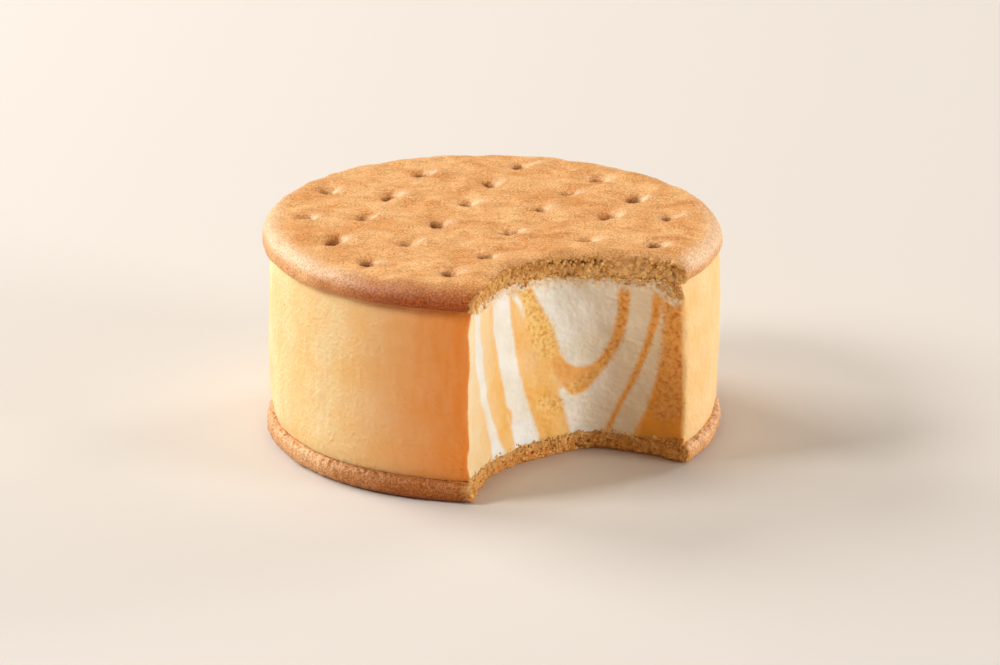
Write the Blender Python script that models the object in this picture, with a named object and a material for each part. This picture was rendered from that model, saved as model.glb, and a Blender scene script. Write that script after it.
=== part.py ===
# Round ice cream sandwich with one bite taken out of its front right side.
# Two baked biscuits hold a thick disc of ice cream. Z is up and the bottom
# biscuit lies flat on Z = 0, with the disc's axis through the origin.

from math import atan2, cos, degrees, pi, radians, sin, tan

import bmesh
import bpy
from mathutils import Matrix, Vector, noise

MM = 0.001

# Driving sizes of the whole sandwich.
TOP_RADIUS = 40.0 * MM
BOTTOM_RADIUS = 39.8 * MM
BISCUIT_THICKNESS = 3.8 * MM
ICE_CREAM_RADIUS = 39.05 * MM
ICE_CREAM_HEIGHT = 29.8 * MM
GAP = 0.3 * MM
TOP_LEAN = radians(-0.92)

# Heights of the layers on the axis.
BOTTOM_TOP = BISCUIT_THICKNESS
ICE_CREAM_BASE = BOTTOM_TOP + GAP
ICE_CREAM_TOP = ICE_CREAM_BASE + ICE_CREAM_HEIGHT
TOP_BASE = ICE_CREAM_TOP + GAP
TOP_TOP = TOP_BASE + BISCUIT_THICKNESS

# The biscuits' rims: how the edges are rounded, and how uneven they are.
SEGMENTS = 84
RIM_ROUND = 2.0 * MM
UNDER_ROUND = 0.7 * MM
BASE_ROUND = 1.7 * MM
BASE_SLOPE = 0.6 * MM
BASE_SHOULDER = 1.6 * MM
RIM_WAVE = 0.28 * MM
RIM_WAVELENGTH = 9.0 * MM
BASE_EDGE_WAVE = 0.35 * MM
BASE_EDGE_DROP = 0.1 * MM

# The crust on top: a low dome with soft waves.
CRUST_RINGS = 8
CRUST_DOME = 0.35 * MM
CRUST_WAVE = 0.22 * MM
CRUST_WAVELENGTH = 13.0 * MM

# The ice cream bulges at half height, draws in at its edges and leans out to
# the right towards the top.
WALL_ROWS = 12
WALL_BULGE = 0.35 * MM
WALL_EDGE = 3.6 * MM
WALL_PINCH = 0.9 * MM
WALL_LEAN = 0.45 * MM
WALL_WAVE = 0.22 * MM
WALL_WAVELENGTH = 17.0 * MM

# Docking holes pricked into the dough, in mm from the axis. They stand in rows
# about 13 mm apart, and the baking has pulled each row a little out of line.
DOCKING_ROWS = (
    ((5.0, 32.0), (18.7, 24.8)),
    ((-12.7, 26.1), (-0.6, 22.1), (13.2, 16.4), (24.9, 13.3)),
    ((-29.4, 16.0), (-18.0, 13.4), (-4.8, 9.3), (8.2, 6.3), (20.3, 3.8), (30.8, 3.3)),
    ((-32.9, 0.5), (-22.3, 0.8), (-9.6, -1.9), (3.2, -7.0), (16.2, -10.7), (28.0, -12.0)),
    ((-27.1, -12.3), (-14.6, -13.8), (-1.3, -18.6)),
    ((-21.2, -23.4), (-7.3, -28.6)),
)
# Radius and height of a hole's wall, from its blunt tip to above its soft mouth.
HOLE_WALL = ((0.35, -2.2), (0.85, -1.3), (1.35, -0.55), (2.4, -0.05), (3.1, 0.9))
HOLE_SIDES = 10

# The bite is an arch seen from above. Its reach in mm is measured from a point
# just outside the rim, at angles from +Y towards +X, for four heights in mm.
BITE_CENTRE = Vector((17.0, -38.0)) * MM
BITE_ANGLES = (-95, -70, -45, -20, 0, 20, 45)
BITE_REACH = {
    -1.0: (20.3, 20.6, 21.6, 22.8, 25.9, 24.7, 23.4),
    3.9: (21.2, 19.4, 20.0, 21.2, 23.4, 22.4, 23.2),
    34.0: (20.9, 19.3, 19.8, 19.7, 17.9, 18.1, 22.0),
    38.0: (20.8, 19.0, 18.9, 18.2, 18.8, 21.0, 21.6),
}
BITE_OUTSIDE_ANGLES = (-180, -125, 80, 180)
BITE_OUTSIDE_REACH = 24.0
BITE_STEPS = 96
BITE_MARGIN = 2.0 * MM

# Broken biscuit is craggy, and bitten ice cream is smooth: size of the relief,
# its wavelength, and the height of a row of the bite's wall.
BISCUIT_BREAK = (0.75 * MM, 2.6 * MM, 0.85 * MM)
ICE_CREAM_BREAK = (0.35 * MM, 7.0 * MM, 4.2 * MM)

# Where each noise field starts, so that no two surfaces share a pattern.
BREAK_SEED, CRUST_SEED, TOP_RIM_SEED = 5.0, 3.0, 7.0
WALL_SEED, BOTTOM_RIM_SEED, BOTTOM_EDGE_SEED = 11.0, 17.0, 19.0


def clear_scene():
    for item in list(bpy.data.objects):
        bpy.data.objects.remove(item)


def make_material(name, colour, roughness):
    material = bpy.data.materials.new(name)
    material.use_nodes = True
    shader = material.node_tree.nodes["Principled BSDF"]
    shader.inputs["Base Color"].default_value = (*colour, 1.0)
    shader.inputs["Roughness"].default_value = roughness
    shader.inputs["Metallic"].default_value = 0.0
    material.diffuse_color = (*colour, 1.0)
    return material


def make_object(name, shape):
    mesh = bpy.data.meshes.new(name)
    bmesh.ops.recalc_face_normals(shape, faces=shape.faces)
    shape.to_mesh(mesh)
    shape.free()
    item = bpy.data.objects.new(name, mesh)
    bpy.context.scene.collection.objects.link(item)
    return item


def make_piece(name, shape, material):
    item = make_object(name, shape)
    item.data.materials.append(material)
    item.data.shade_smooth()
    item.data.set_sharp_from_angle(angle=radians(40))
    return item


def make_cutter(name, shape):
    cutter = make_object(name, shape)
    cutter.hide_render = True
    cutter.display_type = "WIRE"
    return cutter


def cut(item, cutter):
    modifier = item.modifiers.new("cut by " + cutter.name, "BOOLEAN")
    modifier.operation = "DIFFERENCE"
    modifier.solver = "EXACT"
    modifier.object = cutter


def spin_profile(shape, profile, centre, steps):
    """Turns (radius, height) points, the first and last on the axis, into a closed body."""
    points = [shape.verts.new((centre.x + radius, centre.y, height)) for radius, height in profile]
    lines = [shape.edges.new(pair) for pair in zip(points, points[1:])]
    bmesh.ops.spin(
        shape,
        geom=points + lines,
        cent=(centre.x, centre.y, 0),
        axis=(0, 0, 1),
        angle=2 * pi,
        steps=steps,
        use_merge=True,
    )


def turned_body(profile):
    shape = bmesh.new()
    spin_profile(shape, profile, Vector((0, 0)), SEGMENTS)
    bmesh.ops.remove_doubles(shape, verts=shape.verts, dist=0.01 * MM)
    return shape


def arc(centre_radius, centre_height, size, start, end, steps):
    """Points of a rounded edge, with angles in degrees from outwards towards up."""
    angles = [radians(start + (end - start) * step / steps) for step in range(steps + 1)]
    return [(centre_radius + size * cos(angle), centre_height + size * sin(angle)) for angle in angles]


def wave(point, wavelength, seed):
    """Smooth noise between about -1 and 1 with the given wavelength."""
    return noise.noise(Vector(point) / (0.5 * wavelength) + Vector((seed, 2.7 * seed, 0.3 * seed)))


def smooth_step(value, low, high):
    share = min(1.0, max(0.0, (value - low) / (high - low)))
    return share * share * (3.0 - 2.0 * share)


def outwards(point):
    """The point's distance from the axis, and the level direction away from it."""
    flat = Vector((point.x, point.y, 0.0))
    return flat.length, flat.normalized()


def lean(point):
    """Above the bottom biscuit, heights change with X in step with how high the point is."""
    point.z += point.x * tan(TOP_LEAN) * min(1.0, point.z / ICE_CREAM_TOP)


def reach_in_row(row, angle):
    """Reach in mm at one height, read from a smooth curve through the row's values."""
    first, second, third, last = BITE_OUTSIDE_ANGLES
    outside = (BITE_OUTSIDE_REACH, BITE_OUTSIDE_REACH)
    angles = (first, second) + BITE_ANGLES + (third, last)
    reaches = outside + row + outside
    index = max(i for i in range(len(angles) - 1) if angles[i] <= angle)
    share = (angle - angles[index]) / (angles[index + 1] - angles[index])
    before, start = reaches[max(index - 1, 0)], reaches[index]
    end, after = reaches[index + 1], reaches[min(index + 2, len(reaches) - 1)]
    bend = after - 3.0 * end + 3.0 * start - before
    slope = 2.0 * before - 5.0 * start + 4.0 * end - after
    return start + 0.5 * share * (end - before + share * (slope + share * bend))


def bite_reach(height, angle):
    """Reach in metres at a height in metres and an angle in degrees."""
    levels = sorted(BITE_REACH)
    height = min(levels[-1], max(levels[0], height / MM))
    index = min(sum(level <= height for level in levels), len(levels) - 1)
    low, high = levels[index - 1], levels[index]
    share = (height - low) / (high - low)
    start = reach_in_row(BITE_REACH[low], angle)
    end = reach_in_row(BITE_REACH[high], angle)
    return (start + (end - start) * share) * MM


def bite_cutter(name, low, high, broken):
    """A closed plug of the bite's form from under low to over high, with a broken wall."""
    relief, wavelength, row_height = broken
    low, high = low - BITE_MARGIN, high + BITE_MARGIN
    rows = round((high - low) / row_height)
    shape = bmesh.new()
    centre = Vector((*BITE_CENTRE, 0.0))
    bmesh.ops.create_circle(shape, segments=BITE_STEPS, radius=MM, matrix=Matrix.Translation(centre))
    ring, corners = shape.edges[:], shape.verts[:]
    for row in range(rows + 1):
        if row:
            made = bmesh.ops.extrude_edge_only(shape, edges=ring)["geom"]
            ring = [part for part in made if isinstance(part, bmesh.types.BMEdge)]
            corners = [part for part in made if isinstance(part, bmesh.types.BMVert)]
        centre.z = low + (high - low) * row / rows
        for corner in corners:
            angle = atan2(corner.co.x - centre.x, corner.co.y - centre.y)
            away = Vector((sin(angle), cos(angle), 0.0))
            reach = bite_reach(centre.z, degrees(angle))
            reach += relief * wave(centre + away * reach, wavelength, BREAK_SEED)
            corner.co = centre + away * reach
    bmesh.ops.holes_fill(shape, edges=shape.edges)
    return make_cutter(name, shape)


def crust_height(x, y):
    """Height of the crust above its flat form."""
    spread = min(1.0, Vector((x, y)).length / TOP_RADIUS)
    return CRUST_WAVE * wave((x, y, 0.0), CRUST_WAVELENGTH, CRUST_SEED) - CRUST_DOME * spread ** 3


def docking_hole_cutter():
    shape = bmesh.new()
    tip, brim = HOLE_WALL[0][1], HOLE_WALL[-1][1]
    for x, y in (hole for row in DOCKING_ROWS for hole in row):
        place = Vector((x, y)) * MM
        surface = TOP_TOP + crust_height(place.x, place.y) + place.x * tan(TOP_LEAN)
        wall = ((0.0, brim),) + HOLE_WALL[::-1] + ((0.0, tip),)
        profile = [(radius * MM, surface + height * MM) for radius, height in wall]
        spin_profile(shape, profile, place, HOLE_SIDES)
    bmesh.ops.remove_doubles(shape, verts=shape.verts, dist=0.01 * MM)
    return make_cutter("docking holes", shape)


def top_biscuit():
    crust_edge = TOP_RADIUS - RIM_ROUND
    profile = [(crust_edge * ring / CRUST_RINGS, TOP_TOP) for ring in range(CRUST_RINGS)]
    profile += arc(crust_edge, TOP_TOP - RIM_ROUND, RIM_ROUND, 90, 0, 4)
    profile += arc(TOP_RADIUS - UNDER_ROUND, TOP_BASE + UNDER_ROUND, UNDER_ROUND, -5, -90, 2)
    profile += [(0.5 * TOP_RADIUS, TOP_BASE), (0.0, TOP_BASE)]
    shape = turned_body(profile)
    for vert in shape.verts:
        place = vert.co.copy()
        distance, away = outwards(place)
        crust_share = smooth_step(place.z, TOP_BASE + UNDER_ROUND, TOP_TOP - 0.5 * RIM_ROUND)
        vert.co.z += crust_share * crust_height(place.x, place.y)
        if distance > 0.9 * TOP_RADIUS:
            vert.co += away * RIM_WAVE * wave(place, RIM_WAVELENGTH, TOP_RIM_SEED)
        lean(vert.co)
    crust = make_material("baked biscuit", (0.62, 0.36, 0.15), 0.62)
    item = make_piece("top_biscuit", shape, crust)
    cut(item, docking_hole_cutter())
    cut(item, bite_cutter("bite in the top biscuit", TOP_BASE, TOP_TOP, BISCUIT_BREAK))


def ice_cream():
    low, high = ICE_CREAM_BASE, ICE_CREAM_TOP
    profile = [(0.0, high), (0.5 * ICE_CREAM_RADIUS, high)]
    for row in range(WALL_ROWS + 1):
        height = high - (high - low) * row / WALL_ROWS
        near_edge = max(0.0, 1.0 - min(height - low, high - height) / WALL_EDGE)
        profile.append((ICE_CREAM_RADIUS - WALL_PINCH * near_edge ** 2, height))
    profile += [(0.5 * ICE_CREAM_RADIUS, low), (0.0, low)]
    shape = turned_body(profile)
    for vert in shape.verts:
        place = vert.co.copy()
        distance, away = outwards(place)
        if distance > 0.9 * ICE_CREAM_RADIUS:
            share = (place.z - low) / (high - low)
            bulge = WALL_BULGE * sin(pi * share) + WALL_LEAN * away.x * share
            vert.co += away * (bulge + WALL_WAVE * wave(place, WALL_WAVELENGTH, WALL_SEED))
        lean(vert.co)
    orange = make_material("orange ice cream", (0.90, 0.55, 0.22), 0.45)
    item = make_piece("ice_cream", shape, orange)
    cut(item, bite_cutter("bite in the ice cream", low, high, ICE_CREAM_BREAK))


def bottom_biscuit():
    rim, high = BOTTOM_RADIUS, BOTTOM_TOP
    profile = [(0.0, high), (0.5 * rim, high), (rim - BASE_SHOULDER, high)]
    profile += [(rim - 0.3 * BASE_SHOULDER, high - 0.25 * BASE_SLOPE), (rim, high - BASE_SLOPE)]
    profile += arc(rim - BASE_ROUND, BASE_ROUND, BASE_ROUND, 0, -90, 3)
    profile += [(0.6 * rim, 0.0), (0.0, 0.0)]
    shape = turned_body(profile)
    for vert in shape.verts:
        place = vert.co.copy()
        distance, away = outwards(place)
        if distance > rim - 0.8 * BASE_ROUND and place.z > 0.0:
            vert.co += away * RIM_WAVE * wave(place, RIM_WAVELENGTH, BOTTOM_RIM_SEED)
        if distance > rim - 0.5 * BASE_SHOULDER and place.z > 0.5 * high:
            edge_wave = BASE_EDGE_WAVE * wave(place, RIM_WAVELENGTH, BOTTOM_EDGE_SEED)
            vert.co.z += edge_wave - BASE_EDGE_DROP
    crust = make_material("baked biscuit base", (0.66, 0.42, 0.20), 0.7)
    item = make_piece("bottom_biscuit", shape, crust)
    cut(item, bite_cutter("bite in the bottom biscuit", 0.0, high, BISCUIT_BREAK))


clear_scene()
bottom_biscuit()
ice_cream()
top_biscuit()
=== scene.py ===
import math
import random

import bmesh
import bpy
import numpy as np
from mathutils import Euler, Matrix, Vector, noise


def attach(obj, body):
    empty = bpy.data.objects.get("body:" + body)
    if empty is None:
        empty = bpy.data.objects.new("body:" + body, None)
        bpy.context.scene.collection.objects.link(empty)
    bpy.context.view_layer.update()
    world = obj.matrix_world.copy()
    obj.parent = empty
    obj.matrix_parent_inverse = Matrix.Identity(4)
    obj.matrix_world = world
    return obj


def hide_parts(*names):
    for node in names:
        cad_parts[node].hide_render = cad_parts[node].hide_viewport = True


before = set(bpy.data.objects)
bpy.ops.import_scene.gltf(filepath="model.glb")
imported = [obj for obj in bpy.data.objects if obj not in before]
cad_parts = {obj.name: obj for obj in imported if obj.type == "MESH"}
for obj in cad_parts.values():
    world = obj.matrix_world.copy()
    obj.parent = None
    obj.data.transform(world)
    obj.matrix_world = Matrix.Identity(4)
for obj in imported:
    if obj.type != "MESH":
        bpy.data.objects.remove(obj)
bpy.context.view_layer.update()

# A round ice cream sandwich with a bite out of it. The modelling below is in
# millimetres, and finishPiece turns each finished piece to metres.

scene = bpy.context.scene
metresPerMm = 0.001

# The sizes that the solids share, in mm. Heights are at the axis.
sandwich = {
    "lidRadius": 40.0,
    "baseRadius": 39.8,
    "creamRadius": 39.05,
    "baseTop": 3.8,
    "creamLow": 4.1,
    "creamTop": 33.9,
    "lidLow": 34.2,
    "lidTop": 38.0,
    "leanDegrees": -0.92,  # the lid leans down to the right
}
leanSlope = math.tan(math.radians(sandwich["leanDegrees"]))

# The bite, seen from above: how far it reaches from a point just off the rim,
# at angles from +Y towards +X, for four heights.
bite = {
    "centre": (17.0, -38.0),
    "angles": (-95, -70, -45, -20, 0, 20, 45),
    "reach": {
        -1.0: (20.3, 20.6, 21.6, 22.8, 25.9, 24.7, 23.4),
        3.9: (21.2, 19.4, 20.0, 21.2, 23.4, 22.4, 23.2),
        34.0: (20.9, 19.3, 19.8, 19.7, 17.9, 18.1, 22.0),
        38.0: (19.7, 17.9, 18.1, 18.0, 18.8, 21.0, 21.6),
    },
    "outside": 24.0,  # reach where the bite is clear of the food
    "columns": 240,
    "margin": 2.0,
    "seed": 5.0,
    "mmPerDegree": 0.358,  # along the bitten face, for the swirl
}


# Geometry helpers

def wave(points, length, seed):  # smooth noise from about -1 to 1, with waves of this length
    moved = points / (0.5 * length) + np.array((seed, 2.7 * seed, 0.3 * seed))
    return np.array([noise.noise(place) for place in moved.tolist()])


def waves(points, form, seed):  # the same, with its size: mm high, mm long
    high, length = form
    return high * wave(points, length, seed)


def bell(distance, width, power=2.0):  # 1 at no distance, and falling off at about the width
    return np.exp(-(distance / width) ** power)


def cells(points, size, seed):  # 0 in the middle of each grain, about 1 at its border
    moved = points / size + np.array((seed, 1.3 * seed, 2.1 * seed))
    nearest = [noise.voronoi(place)[0] for place in moved.tolist()]
    return np.array([near[0] / max(near[1], 0.001) for near in nearest])


def smoothStep(values, low, high):
    share = np.clip((values - low) / (high - low), 0.0, 1.0)
    return share * share * (3.0 - 2.0 * share)


def smoothThrough(places, values, at):  # a smooth curve through the values, read at many places
    places = np.array(places, float)
    values = np.array(values, float)
    index = np.clip(np.searchsorted(places, at, side="right") - 1, 0, len(places) - 2)
    share = (at - places[index]) / (places[index + 1] - places[index])
    before = values[np.maximum(index - 1, 0)]
    start = values[index]
    end = values[index + 1]
    after = values[np.minimum(index + 2, len(values) - 1)]
    bend = after - 3.0 * end + 3.0 * start - before
    slope = 2.0 * before - 5.0 * start + 4.0 * end - after
    return start + 0.5 * share * (end - before + share * (slope + share * bend))


def biteReach(heights, angles):  # mm from the bite's centre to its face
    levels = sorted(bite["reach"])
    places = (-180, -125) + bite["angles"] + (80, 180)
    edge = (bite["outside"], bite["outside"])
    rows = np.array([smoothThrough(places, edge + bite["reach"][level] + edge, angles) for level in levels])
    heights = np.clip(heights, levels[0], levels[-1])
    index = np.clip(np.searchsorted(levels, heights, side="right") - 1, 0, len(levels) - 2)
    levels = np.array(levels)
    share = (heights - levels[index]) / (levels[index + 1] - levels[index])
    column = np.arange(len(angles))
    return rows[index, column] * (1.0 - share) + rows[index + 1, column] * share


def biteView(points, broken):  # angle in degrees, level direction into the food, mm behind the broken face
    offset = points[:, :2] - np.array(bite["centre"])
    distance = np.hypot(offset[:, 0], offset[:, 1])
    away = np.column_stack((offset / np.maximum(distance, 0.001)[:, None], np.zeros(len(points))))
    angles = np.degrees(np.arctan2(offset[:, 0], offset[:, 1]))
    reach = biteReach(points[:, 2], angles)
    face = away * reach[:, None] + np.array((*bite["centre"], 0.0))
    face[:, 2] = points[:, 2]
    size, length = broken
    return angles, away, distance - reach - size * wave(face, length, bite["seed"])


def outwards(points):  # mm from the axis, and the level direction away from it
    distance = np.hypot(points[:, 0], points[:, 1])
    away = points * (1.0, 1.0, 0.0) / np.maximum(distance, 0.001)[:, None]
    return distance, away


def degreesToLeft(points):  # round the axis, from the front
    return np.degrees(np.arctan2(-points[:, 0], -points[:, 1]))


def lean(points):  # more with height, up to the lid
    points[:, 2] += points[:, 0] * leanSlope * np.minimum(1.0, points[:, 2] / sandwich["creamTop"])


def roundedCorner(centreRadius, centreHeight, size, start, end, steps):
    turns = np.radians(np.linspace(start, end, steps + 1))
    return [(centreRadius + size * math.cos(turn), centreHeight + size * math.sin(turn)) for turn in turns]


def objectFrom(shape, name):
    bmesh.ops.recalc_face_normals(shape, faces=shape.faces)
    mesh = bpy.data.meshes.new(name)
    shape.to_mesh(mesh)
    shape.free()
    item = bpy.data.objects.new(name, mesh)
    scene.collection.objects.link(item)
    return item


def spinProfile(name, profile, steps):  # the first and last points lie on the axis
    shape = bmesh.new()
    corners = [shape.verts.new((radius, 0.0, height)) for radius, height in profile]
    for pair in zip(corners, corners[1:]):
        shape.edges.new(pair)
    bmesh.ops.spin(
        shape, geom=shape.verts[:] + shape.edges[:], cent=(0, 0, 0), axis=(0, 0, 1),
        angle=2 * math.pi, steps=steps, use_merge=True)
    bmesh.ops.remove_doubles(shape, verts=shape.verts, dist=0.002)
    return objectFrom(shape, name)


def applyModifiers(item):
    bpy.context.view_layer.update()
    graph = bpy.context.evaluated_depsgraph_get()
    finished = bpy.data.meshes.new_from_object(item.evaluated_get(graph))
    item.modifiers.clear()
    item.data = finished


def readPoints(item, source="vertices", field="co"):
    values = np.empty(len(item.data.vertices) * 3)
    getattr(item.data, source).foreach_get(field, values)
    return values.reshape(-1, 3)


def movePoints(item, points):
    item.data.vertices.foreach_set("co", points.ravel())
    item.data.update()


def keepAttributes(item, **attributes):  # one number for each point, read by the materials
    for name, values in attributes.items():
        layer = item.data.attributes.new(name, "FLOAT", "POINT")
        layer.data.foreach_set("value", np.asarray(values, np.float32))


def cutBite(item, low, high, rowHeight, broken):
    low -= bite["margin"]
    high += bite["margin"]
    rows = round((high - low) / rowHeight)
    shape = bmesh.new()
    start = Matrix.Translation((*bite["centre"], low))
    bmesh.ops.create_circle(shape, segments=bite["columns"], radius=1.0, matrix=start)
    ring = shape.edges[:]
    level = shape.verts[:]
    for row in range(rows + 1):
        if row:
            made = bmesh.ops.extrude_edge_only(shape, edges=ring)["geom"]
            ring = [part for part in made if isinstance(part, bmesh.types.BMEdge)]
            level = [part for part in made if isinstance(part, bmesh.types.BMVert)]
        points = np.array([vert.co[:] for vert in level])
        points[:, 2] = low + (high - low) * row / rows
        _, away, depth = biteView(points, broken)
        for vert, place in zip(level, points - away * depth[:, None]):
            vert.co = place
    bmesh.ops.holes_fill(shape, edges=shape.edges)
    cutter = objectFrom(shape, "biteCutter")
    modifier = item.modifiers.new("bite", "BOOLEAN")
    modifier.operation = "DIFFERENCE"
    modifier.solver = "EXACT"
    modifier.object = cutter
    applyModifiers(item)
    bpy.data.objects.remove(cutter)


def remesh(item, voxel):
    modifier = item.modifiers.new("even mesh", "REMESH")
    modifier.mode = "VOXEL"
    modifier.voxel_size = voxel
    applyModifiers(item)


def refine(item, chosen):  # halves the edges that have both ends among the chosen points
    shape = bmesh.new()
    shape.from_mesh(item.data)
    shape.verts.ensure_lookup_table()
    edges = [edge for edge in shape.edges if chosen[edge.verts[0].index] and chosen[edge.verts[1].index]]
    bmesh.ops.subdivide_edges(shape, edges=edges, cuts=1, use_grid_fill=True)
    bmesh.ops.triangulate(shape, faces=[face for face in shape.faces if len(face.verts) > 4])
    shape.to_mesh(item.data)
    shape.free()


def relax(item, rounds):
    shape = bmesh.new()
    shape.from_mesh(item.data)
    for _ in range(rounds):
        bmesh.ops.smooth_vert(
            shape, verts=shape.verts, factor=0.5, use_axis_x=True, use_axis_y=True, use_axis_z=True)
    shape.to_mesh(item.data)
    shape.free()


def finishPiece(item, material, node=None):
    item.data.transform(Matrix.Scale(metresPerMm, 4))
    item.data.materials.clear()
    item.data.materials.append(material)
    item.data.update()
    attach(item, "root")
    if node:
        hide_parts(node)
    item.data.calc_loop_triangles()
    print(item.name, "has", len(item.data.loop_triangles), "triangles")


# Material helpers

def colour(code):  # "#rrggbb" in sRGB to the linear values that Blender wants
    parts = [int(code[place:place + 2], 16) / 255.0 for place in (1, 3, 5)]
    linear = [part / 12.92 if part <= 0.04045 else ((part + 0.055) / 1.055) ** 2.4 for part in parts]
    return (*linear, 1.0)


def perMm(size):  # the texture scale that repeats about every so many mm
    return 1.0 / (size * metresPerMm)


def addNode(tree, kind, inputs, output=None, **settings):  # returns the node, or one of its outputs
    node = tree.nodes.new("ShaderNode" + kind)
    for name, value in settings.items():
        setattr(node, name, value)
    for name, value in inputs.items():
        if isinstance(value, bpy.types.NodeSocket):
            tree.links.new(value, node.inputs[name])
        else:
            node.inputs[name].default_value = value
    return node if output is None else node.outputs[output]


def newMaterial(name):
    material = bpy.data.materials.new(name)
    material.use_nodes = True
    material.node_tree.nodes.clear()
    return material, material.node_tree


# Baked biscuit: a plain sweet dough, rolled, docked and baked. The crust is matt
# and sandy, toasted unevenly, and where it is torn it shows a golden open crumb.

# Painted shade darkens the docking holes, the crumb's pores and the rims at the front left and underneath;
# painted highlights lie on the rims' shoulders and beside each hole.
lidCrust = {
    "name": "bakedBiscuitCrust",
    "pale": "#F7BE7E",
    "toasted": "#E39E5A",
    "brown": "#B06C2E",
    # the rim's browning, with painted shade at the front left and underneath
    "rim": "#A24808",
    "rimPale": "#FFDDB6",  # painted highlight on the shoulder of the rim and beside each hole
    # painted shade in the docking holes
    "pit": "#4C2309",
    "skin": "#D4995A",  # the stretched skin beside the bite
    "crumbPale": "#E9B86C",
    "crumb": "#C68338",
    # painted shade in the crumb's pores, gaps and cracks
    "pore": "#74400F",
    "soaked": "#DBAC6C",  # crumb that has taken up ice cream
    "patches": 6.0,  # mm between toasted patches
    "patchRange": (0.36, 0.66),  # the part of the noise that runs from pale to toasted
    "ripples": 1.6,  # mm
    "rippleDrawn": 0.55,  # drawn out along X
    "rippleRange": (0.46, 0.8),
    "rippleShare": 0.4,
    "sand": 0.33,  # mm, size of a grain
    "sandRange": (0.36, 0.64),
    "sandContrast": (0.74, 1.24),
    "sandDepth": (1.16, 0.9),  # deeper and warmer in the dark grains, paler in the light ones
    "crumbGrain": 0.9,  # mm
    "crumbRange": (0.1, 0.75),
    "bump": 0.14,  # mm, how deep the sandy grain looks
    "roughness": (0.3, 0.64),
    "specular": 0.36,
    "rimGloss": 0.06,  # how much smoother the rim is, where the dough was pressed
    "rimSmooth": 0.1,  # and how much of the sandy grain is pressed flat there
}

baseCrust = dict(
    lidCrust, name="bakedBiscuitBase", pale="#EDB57A", toasted="#D8985A", brown="#A66A34",
    rim="#A4560F", crumbPale="#F6BE6C", crumb="#DA8C38", patches=4.5, sand=0.38,
    sandContrast=(0.7, 1.24), bump=0.18)


def bakedBiscuit(look):
    material, tree = newMaterial(look["name"])
    place = addNode(tree, "TexCoord", {}, "Object")
    drawnOut = addNode(tree, "Mapping", {"Vector": place, "Scale": (look["rippleDrawn"], 1.0, 1.0)}, "Vector")
    patch = addNode(
        tree, "TexNoise",
        {"Vector": place, "Scale": perMm(look["patches"]), "Detail": 5.0, "Distortion": 0.6}, "Fac")
    low, high = look["patchRange"]
    patch = addNode(tree, "MapRange", {"Value": patch, "From Min": low, "From Max": high}, "Result")
    ripple = addNode(
        tree, "TexNoise", {"Vector": drawnOut, "Scale": perMm(look["ripples"]), "Detail": 5.0}, "Fac")
    low, high = look["rippleRange"]
    ripple = addNode(
        tree, "MapRange",
        {"Value": ripple, "From Min": low, "From Max": high, "To Max": look["rippleShare"]}, "Result")
    sand = addNode(
        tree, "TexNoise",
        {"Vector": place, "Scale": perMm(look["sand"]), "Detail": 3.0, "Roughness": 0.65}, "Fac")

    crust = addNode(
        tree, "Mix", {"Factor": patch, 6: colour(look["pale"]), 7: colour(look["toasted"])}, 2,
        data_type="RGBA")
    crust = addNode(tree, "Mix", {"Factor": ripple, 6: crust, 7: colour(look["brown"])}, 2, data_type="RGBA")
    for name in ("rimPale", "rim", "skin", "pit"):
        share = addNode(tree, "Attribute", {}, "Fac", attribute_name=name)
        crust = addNode(tree, "Mix", {"Factor": share, 6: crust, 7: colour(look[name])}, 2, data_type="RGBA")
    low, high = look["sandRange"]
    speckle, depth = [
        addNode(
            tree, "MapRange",
            {"Value": sand, "From Min": low, "From Max": high, "To Min": dark, "To Max": light}, "Result")
        for dark, light in (look["sandContrast"], look["sandDepth"])]
    crust = addNode(tree, "VectorMath", {0: crust, "Scale": speckle}, "Vector", operation="SCALE")
    crust = addNode(tree, "Gamma", {"Color": crust, "Gamma": depth}, "Color")

    grain = addNode(
        tree, "TexVoronoi", {"Vector": place, "Scale": perMm(look["crumbGrain"])}, "Distance")
    low, high = look["crumbRange"]
    grain = addNode(tree, "MapRange", {"Value": grain, "From Min": low, "From Max": high}, "Result")
    crumb = addNode(
        tree, "Mix", {"Factor": grain, 6: colour(look["crumbPale"]), 7: colour(look["crumb"])}, 2,
        data_type="RGBA")
    for name, tone in (("hollow", "pore"), ("soaked", "soaked")):
        share = addNode(tree, "Attribute", {}, "Fac", attribute_name=name)
        crumb = addNode(tree, "Mix", {"Factor": share, 6: crumb, 7: colour(look[tone])}, 2, data_type="RGBA")
    torn = addNode(tree, "Attribute", {}, "Fac", attribute_name="crumb")
    surface = addNode(tree, "Mix", {"Factor": torn, 6: crust, 7: crumb}, 2, data_type="RGBA")

    low, high = look["roughness"]
    rough = addNode(tree, "MapRange", {"Value": sand, "To Min": low, "To Max": high}, "Result")
    pressed = addNode(tree, "Attribute", {}, "Fac", attribute_name="pressed")
    rough = addNode(tree, "Math", {0: pressed, 1: -look["rimGloss"], 2: rough}, 0, operation="MULTIPLY_ADD")
    sandy = addNode(tree, "Math", {0: pressed, 1: -look["rimSmooth"], 2: 1.0}, 0, operation="MULTIPLY_ADD")
    bump = addNode(
        tree, "Bump", {"Height": sand, "Strength": sandy, "Distance": look["bump"] * metresPerMm}, "Normal")
    shader = addNode(
        tree, "BsdfPrincipled",
        {"Base Color": surface, "Roughness": rough, "Normal": bump, "IOR": 1.45,
         "Specular IOR Level": look["specular"]}, "BSDF")
    addNode(tree, "OutputMaterial", {"Surface": shader})
    return material


# Lid: the top biscuit, with its docking holes

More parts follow.
